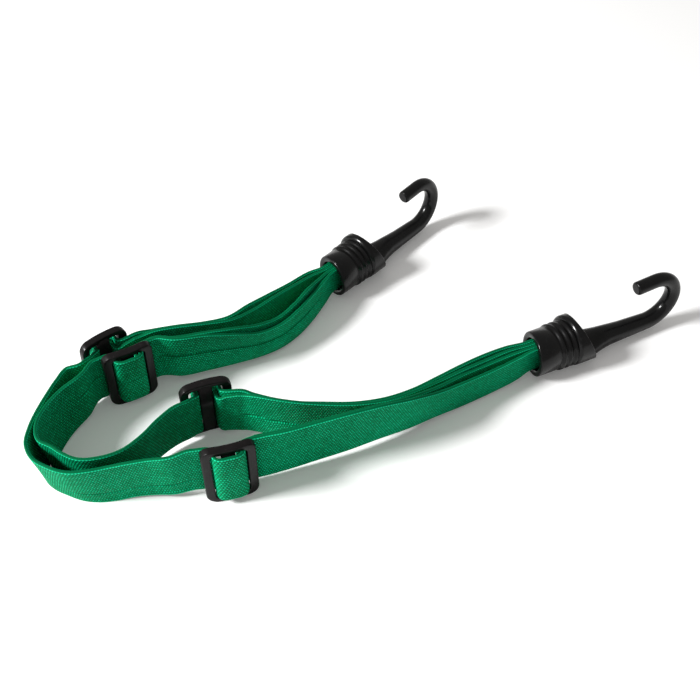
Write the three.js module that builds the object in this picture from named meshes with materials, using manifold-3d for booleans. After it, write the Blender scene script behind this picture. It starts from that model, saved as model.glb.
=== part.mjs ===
// An adjustable elastic strap with two hooks, laid down on its edge.
// Two flat webbings run side by side between two moulded hooks. Each webbing has a slider
// near either hook, where it is folded back on itself to set the length.
// Millimetres, +Z up, the strap lies on z = 0, the hooks point to +X.

import {
  Box3,
  BoxGeometry,
  BufferAttribute,
  BufferGeometry,
  CylinderGeometry,
  ExtrudeGeometry,
  Group,
  LatheGeometry,
  MathUtils,
  Mesh,
  MeshStandardMaterial,
  Path,
  Shape,
  SplineCurve,
  Vector2,
  Vector3,
} from 'three'
import { mergeVertices } from 'three/addons/utils/BufferGeometryUtils.js'
import Module from 'manifold-3d'

// Clearance between pieces that touch, and how far a cutting solid runs past what it cuts
const gap = 0.3
const overrun = 2

// Elastic webbing
const webbingWidth = 20
const hemNarrowing = 0.8
const hemmedTailWidth = webbingWidth - hemNarrowing
const webbingThickness = 1.1
const webbingPitch = webbingThickness + gap

// Slider: a bowed frame with a middle bar. Two layers of webbing pass through each slot.
const sliderThickness = 2.6
const sliderBow = 0.9
const endRailWidth = 2.7
const sideRailWidth = 1.9
const barWidth = 4.2
const barThickness = 1.6
const slotPlay = 0.1
const slotSidePlay = 0.35
const slotWidth = 2 * webbingPitch + gap + slotPlay
const sliderHeight = webbingWidth + 2 * (slotSidePlay + sideRailWidth)
const sliderLength = barWidth + 2 * (slotWidth + endRailWidth)
const sliderCornerRadius = 3
const slotCornerRadius = 0.8

// Hook barrel, with its mouth at x = 0
const collarRadius = 7.7
const collarLength = 7
const mouthChamfer = 1.3
const boreRadius = 5.6
const boreLength = 5.5
const cavityRadius = 6.6
const cavityLength = 9.5
const ribCount = 3
const ribPitch = 2.33
const ribCoreRadius = 7.7
const ribHeight = 0.5
const ribFootShare = 1 / 8
const barrelAxisHeight = ribCoreRadius + ribHeight
const hoodRadius = 8.9
const hoodEdge = 0.8
const hoodTopEnd = 15.6
const hoodSlope = 66

// Hook rod, lying on the floor up to the bend
const rodStart = 17
const rootHalfHeight = 4
const rootHalfWidth = 7
const neckDistance = 31
const neckRadius = 3.8
const shankDistance = 37
const shankRadius = 3.4
const bendDistance = 47.8
const bendRadius = 9.4
const bendLift = 1.2
const bendRodRadius = 3
const tipRodRadius = 2.4
const tipTurn = 5
const tipLength = 7.6
const tipChamfer = 0.6

// Anchor pins inside the barrel
const pinRadius = 0.8
const pinDistance = 10.5
const pinSpacing = 4.7
const pinSocketDepth = 0.5

// Webbing gathered inside a hook
const gatheredWidth = 8.6

// Straight webbing at each end of a free stretch
const leadLength = 1.2

// How finely the round and the bent shapes are divided
const barrelSides = 24
const rodSides = 12
const stretchSteps = 7
const loopSteps = 12
const acrossSteps = 4
const foldSteps = 26
const pinTurnSteps = 6
const sliderBowSteps = 8
const sliderCornerSteps = 3
const bendSteps = 11

// How long the strap lies, from its loop to the start of the near hook's bend
const laidLength = 200

// Where the pieces lie on the floor, in shares of the laid length. A slider's place is the
// middle of its back, a hook's is the middle of its mouth. Turns and leans are in degrees: a
// slider's front looks to the right or to the left of the way to its hook, and its top leans
// to the right. Splays are how far the webbing turns away from the slider's back, in degrees.
const sliderPlaces = {
  outer_near: { atShares: [-0.177, -0.303], turn: 17, lean: 3, front: 'right', splays: { hook: 0, loop: 10 } },
  inner_near: { atShares: [-0.219, -0.194], turn: 20.5, lean: 7, front: 'left', splays: { hook: 18, loop: 12 } },
  inner_far: { atShares: [-0.357, -0.108], turn: 29.5, lean: 7, front: 'right', splays: { hook: 0, loop: 0 } },
  outer_far: { atShares: [-0.392, -0.093], turn: 42, lean: 7, front: 'left', splays: { hook: 8, loop: 10 } },
}
const hookPlaces = {
  near: { atShares: [0.3045, -0.0515], turn: 25.5 },
  far: { atShares: [-0.0335, 0.1495], turn: 47.4 },
}

// The routes of the free webbing between its fixed ends, chosen by hand. A row holds x and y
// of the middle line in shares of the laid length. Then come the heights of the lower and the
// upper edge, and how far the upper edge stands to the left of the lower one, seen along the
// route, in shares of the webbing's width.
const routeShares = {
  outer_loop: [
    [-0.259, -0.3185, 0.1, 1.09, 0.09],
    [-0.29, -0.318, 0.06, 1.05, 0.12],
    [-0.322, -0.321, 0.03, 1.02, 0.15],
    [-0.347, -0.325, 0, 0.985, 0.14],
    [-0.373, -0.3295, 0, 0.98, 0.17],
    [-0.4, -0.329, 0, 0.97, 0.215],
    [-0.4275, -0.319, 0, 0.97, 0.225],
    [-0.45, -0.306, 0, 0.975, 0.2],
    [-0.465, -0.287, 0, 0.99, 0.12],
    [-0.4695, -0.26, 0, 0.995, 0.06],
    [-0.4665, -0.228, 0, 0.995, 0.05],
    [-0.4605, -0.1965, 0.01, 1.01, 0.02],
    [-0.4535, -0.1665, 0.04, 1.035, -0.03],
    [-0.444, -0.142, 0.08, 1.07, -0.09],
  ],
  inner_loop: [
    [-0.2885, -0.2445, 0.07, 1.06, 0.14],
    [-0.311, -0.2745, 0.03, 1.02, 0.15],
    [-0.335, -0.2955, 0, 0.985, 0.155],
    [-0.361, -0.3065, 0, 0.985, 0.16],
    [-0.388, -0.309, 0, 0.985, 0.16],
    [-0.4095, -0.3, 0, 0.985, 0.155],
    [-0.429, -0.2875, 0, 0.985, 0.14],
    [-0.45, -0.277, 0, 0.99, 0.12],
    [-0.46, -0.254, 0, 0.995, 0.08],
    [-0.456, -0.219, 0, 0.995, 0.06],
    [-0.442, -0.1885, 0.03, 1.03, 0.01],
    [-0.418, -0.158, 0.09, 1.085, -0.07],
  ],
  outer_near_running: [
    [-0.095, -0.2755, 0.15, 1.145, -0.08],
    [-0.046, -0.2595, 0.185, 1.175, -0.1],
    [0, -0.243, 0.2, 1.185, -0.12],
    [0.0475, -0.2215, 0.2, 1.13, -0.14],
    [0.0925, -0.199, 0.18, 1.01, -0.13],
    [0.1385, -0.1665, 0.11, 0.8, -0.1],
    [0.184, -0.1365, 0.055, 0.695, -0.06],
    [0.2365, -0.1045, 0.055, 0.64, -0.03],
    [0.28, -0.078, 0.1, 0.63, 0],
  ],
  outer_near_return: [
    [-0.0975, -0.269, 0.1, 1.095, -0.08],
    [-0.0485, -0.253, 0.13, 1.12, -0.1],
    [-0.003, -0.2365, 0.145, 1.13, -0.12],
    [0.0445, -0.215, 0.145, 1.075, -0.14],
    [0.0885, -0.192, 0.15, 0.98, -0.13],
    [0.133, -0.158, 0.11, 0.81, -0.1],
    [0.177, -0.1255, 0.06, 0.72, -0.05],
    [0.2235, -0.096, 0.055, 0.66, -0.03],
    [0.267, -0.0735, 0.1, 0.65, 0],
  ],
  inner_near_return: [
    [-0.143, -0.1985, 0.095, 1.09, -0.13],
    [-0.117, -0.205, 0.09, 1.1, -0.13],
    [-0.085, -0.2085, 0.08, 1.07, -0.13],
    [-0.04, -0.2075, 0.06, 0.99, -0.1],
    [0.01, -0.2025, 0.05, 0.93, -0.1],
    [0.055, -0.19, 0.05, 0.88, -0.1],
    [0.098, -0.168, 0.05, 0.83, -0.09],
    [0.141, -0.141, 0.05, 0.78, -0.07],
    [0.182, -0.1145, 0.05, 0.75, -0.05],
    [0.221, -0.09, 0.06, 0.7, -0.025],
    [0.26, -0.068, 0.1, 0.675, 0],
  ],
  inner_near_running: [
    [-0.144, -0.19, 0.08, 1.04, -0.14],
    [-0.116, -0.1965, 0.06, 1.01, -0.14],
    [-0.0845, -0.201, 0.04, 0.98, -0.13],
    [-0.0405, -0.2005, 0.03, 0.935, -0.1],
    [0.0085, -0.1955, 0.03, 0.885, -0.1],
    [0.052, -0.1835, 0.03, 0.845, -0.1],
    [0.0945, -0.162, 0.03, 0.8, -0.09],
    [0.137, -0.1345, 0.04, 0.78, -0.07],
    [0.1775, -0.108, 0.05, 0.77, -0.05],
    [0.2165, -0.083, 0.06, 0.73, -0.02],
    [0.2575, -0.06, 0.1, 0.68, 0],
  ],
  inner_far_running: [
    [-0.28, -0.0785, 0.125, 1.115, -0.13],
    [-0.2375, -0.0645, 0.12, 1.05, -0.12],
    [-0.1925, -0.047, 0.11, 0.9, -0.11],
    [-0.15, -0.0245, 0.08, 0.71, -0.08],
    [-0.1175, 0.0005, 0.05, 0.66, -0.06],
    [-0.09, 0.032, 0.05, 0.68, -0.04],
    [-0.0665, 0.069, 0.08, 0.69, -0.02],
    [-0.048, 0.1045, 0.13, 0.67, 0],
  ],
  inner_far_return: [
    [-0.283, -0.0715, 0.1, 1.085, -0.13],
    [-0.2405, -0.0575, 0.1, 1.045, -0.12],
    [-0.196, -0.0395, 0.1, 0.96, -0.11],
    [-0.1555, -0.0165, 0.08, 0.81, -0.08],
    [-0.1245, 0.009, 0.06, 0.72, -0.06],
    [-0.0975, 0.039, 0.06, 0.75, -0.04],
    [-0.0745, 0.0745, 0.09, 0.78, -0.02],
    [-0.0555, 0.1095, 0.13, 0.7, 0],
  ],
  outer_far_return: [
    [-0.322, -0.0575, 0.09, 1.08, -0.13],
    [-0.282, -0.0445, 0.08, 1.06, -0.12],
    [-0.24, -0.0295, 0.07, 0.98, -0.1],
    [-0.2, -0.0135, 0.06, 0.9, -0.07],
    [-0.167, 0.0145, 0.05, 0.84, -0.04],
    [-0.135, 0.0455, 0.05, 0.83, -0.02],
    [-0.101, 0.083, 0.08, 0.77, 0],
    [-0.0675, 0.122, 0.12, 0.69, 0],
  ],
  outer_far_running: [
    [-0.325, -0.0505, 0.06, 1.04, -0.13],
    [-0.2845, -0.0375, 0.04, 1.01, -0.12],
    [-0.2445, -0.0225, 0.03, 0.93, -0.1],
    [-0.2065, -0.0065, 0.03, 0.89, -0.07],
    [-0.175, 0.0225, 0.04, 0.88, -0.04],
    [-0.143, 0.055, 0.05, 0.82, -0.02],
    [-0.108, 0.0935, 0.08, 0.73, 0],
    [-0.0745, 0.1325, 0.12, 0.66, 0],
  ],
}

const webbingMaterial = new MeshStandardMaterial({ color: 0x0f8f56, roughness: 0.65, metalness: 0 })
const sliderMaterial = new MeshStandardMaterial({ color: 0x1c1a1b, roughness: 0.4, metalness: 0 })
const hookMaterial = new MeshStandardMaterial({ color: 0x141416, roughness: 0.35, metalness: 0 })
const pinMaterial = new MeshStandardMaterial({ color: 0xb4b6ba, roughness: 0.3, metalness: 1 })

const wasm = await Module()
wasm.setup()

// A closed surface with each corner stored once, without the triangles that this closes up
function welded(geometry) {
  geometry.deleteAttribute('normal')
  geometry.deleteAttribute('uv')
  const merged = mergeVertices(geometry, gap / 1000)
  const corners = Array.from(merged.getIndex().array)
  const kept = []
  for (let i = 0; i < corners.length; i += 3) {
    const [a, b, c] = corners.slice(i, i + 3)
    if (a !== b && b !== c && c !== a) {
      kept.push(a, b, c)
    }
  }
  merged.setIndex(kept)
  return merged
}

function toSolid(geometry) {
  const mesh = welded(geometry)
  return new wasm.Manifold(new wasm.Mesh({
    numProp: 3,
    vertProperties: new Float32Array(mesh.getAttribute('position').array),
    triVerts: new Uint32Array(mesh.getIndex().array),
  }))
}

function toGeometry(solid) {
  const { vertProperties, triVerts } = solid.getMesh()
  const geometry = new BufferGeometry()
  geometry.setAttribute('position', new BufferAttribute(vertProperties, 3))
  geometry.setIndex(new BufferAttribute(triVerts, 1))
  return geometry
}

function named(name, geometry, material) {
  const mesh = new Mesh(geometry, material)
  mesh.name = name
  return mesh
}

// A place between the rows of a route, on a smooth curve through them
function alongRoute(rows, share) {
  const place = share * (rows.length - 1)
  const row = Math.min(Math.floor(place), rows.length - 2)
  const t = place - row
  const before = rows[Math.max(row - 1, 0)]
  const from = rows[row]
  const to = rows[row + 1]
  const after = rows[Math.min(row + 2, rows.length - 1)]
  const step = Math.hypot(to[0] - from[0], to[1] - from[1])
  const stepBefore = row > 0 ? Math.hypot(from[0] - before[0], from[1] - before[1]) : step
  const stepAfter = row < rows.length - 2 ? Math.hypot(after[0] - to[0], after[1] - to[1]) : step
  return from.map((value, i) => {
    const rise = to[i] - value
    const out = (rise * stepBefore + ((value - before[i]) * step * step) / stepBefore) / (stepBefore + step)
    const into = (rise * stepAfter + ((after[i] - to[i]) * step * step) / stepAfter) / (stepAfter + step)
    const turn = 3 * rise - 2 * out - into
    return value + t * (out + t * (turn + t * (out + into - 2 * rise)))
  })
}

// Free webbing: a flat bar bent along its route, whose lower edge lies flat on the floor
function webbingAlong(rows, steps) {
  const strip = new BoxGeometry(1, 1, 1, steps, 1, acrossSteps)
  const points = strip.getAttribute('position')
  const near = 1 / (steps * 100)
  for (let i = 0; i < points.count; i += 1) {
    const share = points.getX(i) + 1 / 2
    const side = points.getY(i) * webbingThickness
    const across = points.getZ(i)
    const [x, y, low, high, lean] = alongRoute(rows, share)
    const ahead = alongRoute(rows, Math.min(share + near, 1))
    const behind = alongRoute(rows, Math.max(share - near, 0))
    const heading = new Vector2(ahead[0] - behind[0], ahead[1] - behind[1]).normalize()
    const tilt = Math.atan2(lean, high - low)
    const reach = across * lean + side * Math.cos(tilt)
    const level = (low + high) / 2 + across * (high - low) - side * Math.sin(tilt)
    points.setXYZ(i, x - heading.y * reach, y + heading.x * reach, Math.max(level, 0))
  }
  return welded(strip)
}

// A fold of webbing: a bent line given its thickness, as wide as the webbing is there
function foldedWebbing(corners, width) {
  const line = new SplineCurve(corners.map(([x, y]) => new Vector2(x, y)))
  const left = []
  const right = []
  for (let i = 0; i <= foldSteps; i += 1) {
    const point = line.getPoint(i / foldSteps)
    const heading = line.getTangent(i / foldSteps)
    const side = new Vector2(-heading.y, heading.x).multiplyScalar(webbingThickness / 2)
    left.push(point.clone().add(side))
    right.unshift(point.clone().sub(side))
  }
  const geometry = new ExtrudeGeometry(new Shape([...right, ...left]), { depth: width, bevelEnabled: false })
  return welded(geometry.translate(0, 0, -width / 2))
}

function roundedOutline(outline, width, height, radius) {
  const x = width / 2
  const y = height / 2
  outline.moveTo(radius - x, -y)
  outline.lineTo(x - radius, -y)
  outline.quadraticCurveTo(x, -y, x, radius - y)
  outline.lineTo(x, y - radius)
  outline.quadraticCurveTo(x, y, x - radius, y)
  outline.lineTo(radius - x, y)
  outline.quadraticCurveTo(-x, y, -x, y - radius)
  outline.lineTo(-x, radius - y)
  outline.quadraticCurveTo(-x, -y, radius - x, -y)
  return outline
}

// The slider's own frame: x along the webbing, y out of its front, z across the webbing.
// The bowed band's back touches y = 0 at both ends.
const sliderDepth = sliderBow + sliderThickness

function bowedBand(length, height, from, to) {
  const backShape = []
  const frontShape = []
  for (let i = 0; i <= sliderBowSteps; i += 1) {
    const share = (2 * i) / sliderBowSteps - 1
    const back = sliderBow * (1 - ((share * length) / sliderLength) ** 2)
    backShape.push(new Vector2((share * length) / 2, back + from))
    frontShape.unshift(new Vector2((share * length) / 2, back + to))
  }
  const band = new ExtrudeGeometry(new Shape([...backShape, ...frontShape]), { depth: height, bevelEnabled: false })
  return toSolid(band.translate(0, 0, -height / 2))
}

function sliderFrame() {
  const plate = roundedOutline(new Shape(), sliderLength, sliderHeight, sliderCornerRadius)
  const window = [sliderLength - 2 * endRailWidth, sliderHeight - 2 * sideRailWidth]
  plate.holes.push(roundedOutline(new Path(), ...window, slotCornerRadius))
  const depth = sliderDepth + 2 * overrun
  const upright = new ExtrudeGeometry(plate, { depth, bevelEnabled: false, curveSegments: sliderCornerSteps })
  upright.rotateX(Math.PI / 2).translate(0, depth - overrun, 0)
  const frame = bowedBand(sliderLength, sliderHeight, 0, sliderThickness).intersect(toSolid(upright))
  const bar = bowedBand(barWidth, sliderHeight - sideRailWidth, 0, barThickness)
  return toGeometry(frame.add(bar))
}

// How the webbing goes through a slider: the hemmed tail comes up beside the bar, lies on it and
// hooks over its far edge, the running layer goes over the tail and holds it there, and both
// dive through the slots behind the end rails
const webbingClearance = gap + webbingThickness / 2
const barFront = sliderBow + barThickness
const tailOverBar = barFront + webbingClearance
const runningOverBar = tailOverBar + webbingPitch
const slotOuterSide = sliderLength / 2 - endRailWidth
const slotInnerSide = barWidth / 2
const runningInSlot = slotOuterSide - webbingClearance
const tailInSlot = slotInnerSide + webbingClearance
const foldEnd = sliderLength / 2 + 2 * gap

// The layers behind the end rails, which turn away from the slider there
const layersBehind = {
  running: { level: -webbingClearance, width: webbingWidth },
  return: { level: -webbingClearance - webbingPitch, width: hemmedTailWidth },
}

function behindAt(x, layer, splay) {
  return layer.level - Math.tan(MathUtils.degToRad(splay)) * Math.max(x - slotOuterSide, 0)
}

// A point of a layer where it turns round a corner of the bar, at that distance from it
function roundBarCorner(distance) {
  return [slotInnerSide + distance * Math.SQRT1_2, barFront + distance * Math.SQRT1_2]
}

function runningFold({ splays }) {
  const layer = layersBehind.running
  const [toLoop, toHook] = [splays.loop, splays.hook].map((splay) => [
    [slotInnerSide, runningOverBar],
    roundBarCorner(webbingClearance + webbingPitch),
    [runningInSlot, barFront],
    [runningInSlot, sliderBow],
    [runningInSlot, gap],
    [slotOuterSide - gap, layer.level / 2],
    ...[slotOuterSide + webbingThickness, foldEnd].map((x) => [x, behindAt(x, layer, splay)]),
  ])
  const mirrored = toLoop.reverse().map(([x, y]) => [-x, y])
  return foldedWebbing([...mirrored, [0, runningOverBar], ...toHook], webbingWidth)
}

// The tail is a little narrower than the webbing and stands on the slot's lower end
function hemmedTail({ splays, front }) {
  const layer = layersBehind.return
  const [cornerX, cornerY] = roundBarCorner(webbingClearance)
  const tail = foldedWebbing([
    ...[foldEnd, slotOuterSide].map((x) => [x, behindAt(x, layer, splays.hook)]),
    [tailInSlot + webbingThickness, layer.level + webbingThickness / 4],
    [tailInSlot + gap / 2, layersBehind.running.level],
    [tailInSlot, sliderBow],
    [tailInSlot, barFront],
    [cornerX, cornerY],
    [slotInnerSide / 2, tailOverBar],
    [-slotInnerSide / 2, tailOverBar],
    [-cornerX, cornerY],
    [-tailInSlot, barFront],
    [-tailInSlot, barFront - barThickness / 2],
  ], hemmedTailWidth)
  const drop = (webbingWidth - hemmedTailWidth) / 2
  return tail.translate(0, 0, front === 'right' ? drop : -drop)
}

// A point given in the frame of a slider or a hook, on the floor
function fromPlace({ atShares, turn }, x, left) {
  const point = new Vector2(x, left).rotateAround(new Vector2(), MathUtils.degToRad(turn))
  return [point.x + atShares[0] * laidLength, point.y + atShares[1] * laidLength]
}

// The middle of a leaning slider, at the height where its lowest corner stands on the floor
function sliderMiddleHeight(tilt, front) {
  const underFront = front === 'right' ? sliderDepth * Math.sin(tilt) : 0
  return (sliderHeight / 2) * Math.cos(tilt) + underFront
}

function sliderGroup(webbing) {
  const place = sliderPlaces[webbing]
  const tilt = MathUtils.degToRad(place.lean)
  const stand = new Group()
  stand.position.set(...fromPlace(place, 0, 0), sliderMiddleHeight(tilt, place.front))
  stand.rotation.z = MathUtils.degToRad(place.turn)
  const frame = new Group()
  frame.rotation.x = place.front === 'right' ? tilt + Math.PI : tilt
  frame.add(named(`slider_${webbing}`, sliderFrame(), sliderMaterial))
  frame.add(named(`webbing_${webbing}_over_bar`, runningFold(place), webbingMaterial))
  frame.add(named(`webbing_${webbing}_hemmed_tail`, hemmedTail(place), webbingMaterial))
  stand.add(frame)
  return stand
}

// Hook barrel: a collar, a ribbed zone and a hood, turned about the axis of the webbing
function turned(profile, axisHeight) {
  const lathe = new LatheGeometry(profile.map(([x, r]) => new Vector2(r, x)), barrelSides)
  lathe.rotateZ(-Math.PI / 2).translate(0, 0, axisHeight)
  return toSolid(lathe)
}

const ribZoneEnd = collarLength + ribCount * ribPitch
const hoodEnd = rodStart + 2 * hoodRadius

function barrel() {
  const profile = [
    [0, 0],
    [0, collarRadius - mouthChamfer],
    [mouthChamfer, collarRadius],
    [collarLength, collarRadius],
  ]
  for (let i = 0; i < ribCount; i += 1) {
    const valley = collarLength + i * ribPitch
    profile.push([valley + ribPitch * ribFootShare, ribCoreRadius])
    profile.push([valley + ribPitch / 2, ribCoreRadius + ribHeight])
    profile.push([valley + ribPitch * (1 - ribFootShare), ribCoreRadius])
  }
  profile.push([ribZoneEnd, ribCoreRadius], [ribZoneEnd, 0])
  return turned(profile, barrelAxisHeight)
}

function hood() {
  const solid = turned([
    [ribZoneEnd - hoodEdge, 0],
    [ribZoneEnd - hoodEdge, hoodRadius - hoodEdge],
    [ribZoneEnd, hoodRadius],
    [hoodEnd, hoodRadius],
    [hoodEnd, 0],
  ], hoodRadius)
  const size = 8 * hoodRadius
  const cutter = new BoxGeometry(size, size, size).translate(size / 2, 0, 0)
  cutter.rotateY(MathUtils.degToRad(hoodSlope - 90)).translate(hoodTopEnd, 0, 2 * hoodRadius)
  return solid.subtract(toSolid(cutter))
}

// One row for each ring of the rod, from inside the hood to the tip: x and height of the
// middle, half the height and half the width. It rises a little from the floor to the bend.
function rodRings() {
  const flareDistance = (rodStart + neckDistance) / 2
  const straight = [
    [rodStart, rootHalfHeight, rootHalfWidth],
    [flareDistance, (rootHalfHeight + neckRadius) / 2, (rootHalfWidth + neckRadius) / 2],
    [neckDistance, neckRadius, neckRadius],
    [shankDistance, shankRadius, shankRadius],
  ]
  const rings = straight.map(([x, halfHeight, halfWidth]) => {
    const lift = (bendLift * (x - rodStart)) / (bendDistance - rodStart)
    return [x, halfHeight + lift, halfHeight, halfWidth]
  })
  const middle = bendRadius + bendRodRadius + bendLift
  for (let i = 0; i <= bendSteps; i += 1) {
    const angle = MathUtils.degToRad(-90 + ((180 + tipTurn) * i) / bendSteps)
    const radius = MathUtils.lerp(bendRodRadius, tipRodRadius, i / bendSteps)
    rings.push([bendDistance + bendRadius * Math.cos(angle), middle + bendRadius * Math.sin(angle), radius, radius])
  }
  const [x, z] = rings.at(-1)
  const away = MathUtils.degToRad(180 + tipTurn)
  for (const [length, radius] of [[tipLength - tipChamfer, tipRodRadius], [tipLength, tipRodRadius - tipChamfer]]) {
    rings.push([x + length * Math.cos(away), z + length * Math.sin(away), radius, radius])
  }
  return rings
}

function rod() {
  const rings = rodRings()
  const bent = new CylinderGeometry(1, 1, 1, rodSides, rings.length - 1)
  const points = bent.getAttribute('position')
  for (let i = 0; i < points.count; i += 1) {
    const ring = Math.round((points.getY(i) + 1 / 2) * (rings.length - 1))
    const [x, z, halfHeight, halfWidth] = rings[ring]
    const ahead = rings[Math.min(ring + 1, rings.length - 1)]
    const behind = rings[Math.max(ring - 1, 0)]
    const heading = new Vector2(ahead[0] - behind[0], ahead[1] - behind[1]).normalize()
    const up = points.getX(i) * halfHeight
    points.setXYZ(i, x - heading.y * up, points.getZ(i) * halfWidth, z + heading.x * up)
  }
  return toSolid(bent)
}

function anchorPin(side, extra, height) {
  const pin = new CylinderGeometry(pinRadius + extra, pinRadius + extra, height, rodSides)
  return pin.rotateX(Math.PI / 2).translate(pinDistance, (side * pinSpacing) / 2, barrelAxisHeight)
}

// How far up and down from the barrel's axis the cavity reaches at the pins
const cavityReachAtPin = Math.sqrt(cavityRadius ** 2 - (pinSpacing / 2) ** 2)
const pinHeight = 2 * (cavityReachAtPin + pinSocketDepth - gap)

function hookMoulding() {
  const bore = turned([
    [-overrun, 0],
    [-overrun, boreRadius],
    [boreLength + overrun, boreRadius],
    [boreLength + overrun, 0],
  ], barrelAxisHeight)
  const cavity = turned([
    [boreLength, 0],
    [boreLength, boreRadius],
    [boreLength + cavityRadius - boreRadius, cavityRadius],
    [boreLength + cavityLength, cavityRadius],
    [boreLength + cavityLength, 0],
  ], barrelAxisHeight)
  let solid = barrel().add(hood()).add(rod()).subtract(bore).subtract(cavity)
  for (const side of [-1, 1]) {
    solid = solid.subtract(toSolid(anchorPin(side, gap, pinHeight + 2 * gap)))
  }
  return toGeometry(solid)
}

// The turn of a webbing round its anchor pin: in at the mouth, round the pin and out again
function pinFold(side) {
  const radius = pinRadius + gap + webbingThickness / 2
  const pinSide = pinSpacing / 2
  const mouthOuter = (webbingPitch * 3) / 2
  const mouthInner = webbingPitch / 2
  const corners = [[gap / 2, mouthInner], [boreLength, mouthInner], [pinDistance - radius, pinSide - radius]]
  for (let i = 0; i <= pinTurnSteps; i += 1) {
    const angle = -Math.PI / 2 + (Math.PI * i) / pinTurnSteps
    corners.push([pinDistance + radius * Math.cos(angle), pinSide + radius * Math.sin(angle)])
  }
  corners.push([pinDistance - radius, pinSide + radius - gap / 2])
  corners.push([boreLength, mouthOuter + gap])
  corners.push([gap / 2, mouthOuter])
  const placed = corners.map(([x, y]) => [x, side * y])
  return foldedWebbing(side > 0 ? placed : placed.reverse(), gatheredWidth).translate(0, 0, barrelAxisHeight)
}

function hookGroup(end, webbings) {
  const place = hookPlaces[end]
  const group = new Group()
  group.position.set(...fromPlace(place, 0, 0), 0)
  group.rotation.z = MathUtils.degToRad(place.turn)
  group.add(named(`hook_${end}`, hookMoulding(), hookMaterial))
  for (const [webbing, side] of webbings) {
    group.add(named(`anchor_pin_${webbing}_${end}`, welded(anchorPin(side, 0, pinHeight)), pinMaterial))
    group.add(named(`webbing_${webbing}_${end}_round_pin`, pinFold(side), webbingMaterial))
  }
  return group
}

// The first two rows of webbing that leaves a slider, to the hook or to the loop. Where it
// leans and splays at once, its corner needs room beside the fold.
function rowsAtSlider(webbing, side, layer) {
  const place = sliderPlaces[webbing]
  const splay = place.splays[side]
  const tilt = MathUtils.degToRad(place.lean)
  const room = (webbingWidth / 2) * Math.sin(tilt) * Math.sin(MathUtils.degToRad(splay))
  const start = foldEnd + gap + room
  const way = side === 'hook' ? 1 : -1
  return [start, start + leadLength].map((x) => {
    const out = behindAt(x, layer, splay)
    const left = place.front === 'right' ? -out : out
    const low = sliderMiddleHeight(tilt, place.front) + left * Math.sin(tilt) - (webbingWidth / 2) * Math.cos(tilt)
    const lean = -way * layer.width * Math.sin(tilt)
    return [...fromPlace(place, way * x, left * Math.cos(tilt)), low, low + layer.width * Math.cos(tilt), lean]
  })
}

// The last two rows of webbing that enters a hook, as the layer at that distance from its axis
function rowsAtMouth(end, layer) {
  const half = gatheredWidth / 2
  return [-gap / 2 - leadLength, -gap / 2].map((x) => [
    ...fromPlace(hookPlaces[end], x, layer * webbingPitch), barrelAxisHeight - half, barrelAxisHeight + half, 0,
  ])
}

// The rows of a free route in millimetres
function rowsOfRoute(name) {
  return routeShares[name].map(([x, y, ...edges]) => [
    x * laidLength, y * laidLength, ...edges.map((edge) => edge * webbingWidth),
  ])
}

// The same rows walked the other way
function backwards(rows) {
  return [...rows].reverse().map(([x, y, low, high, lean]) => [x, y, low, high, -lean])
}

// Where the layers lie at the mouth of each hook, counted from its axis in pitches
const mouthLayers = {
  outer_near: { end: 'near', running: -3 / 2, return: -1 / 2 },
  inner_near: { end: 'near', running: 3 / 2, return: 1 / 2 },
  inner_far: { end: 'far', running: -3 / 2, return: -1 / 2 },
  outer_far: { end: 'far', running: 3 / 2, return: 1 / 2 },
}

const strap = new Group()
for (const webbing of ['outer', 'inner']) {
  const rows = [
    ...rowsAtSlider(`${webbing}_near`, 'loop', layersBehind.running),
    ...rowsOfRoute(`${webbing}_loop`),
    ...backwards(rowsAtSlider(`${webbing}_far`, 'loop', layersBehind.running)),
  ]
  strap.add(named(`webbing_${webbing}_loop`, webbingAlong(rows, loopSteps), webbingMaterial))
}
for (const [webbing, layers] of Object.entries(mouthLayers)) {
  for (const layer of ['running', 'return']) {
    const rows = [
      ...rowsAtSlider(webbing, 'hook', layersBehind[layer]),
      ...rowsOfRoute(`${webbing}_${layer}`),
      ...rowsAtMouth(layers.end, layers[layer]),
    ]
    strap.add(named(`webbing_${webbing}_${layer}`, webbingAlong(rows, stretchSteps), webbingMaterial))
  }
}
for (const webbing of Object.keys(sliderPlaces)) {
  strap.add(sliderGroup(webbing))
}
strap.add(hookGroup('near', [['outer', -1], ['inner', 1]]))
strap.add(hookGroup('far', [['inner', -1], ['outer', 1]]))

// The origin is the middle of the laid strap's outline on the floor
const middle = new Box3().setFromObject(strap, true).getCenter(new Vector3())
strap.position.set(-middle.x, -middle.y, 0)

export default strap
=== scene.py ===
from collections import namedtuple
from math import cos, exp, floor, hypot, pi, radians, sin, sqrt, tan

import bmesh
import bpy
from mathutils import Matrix, Vector


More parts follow.
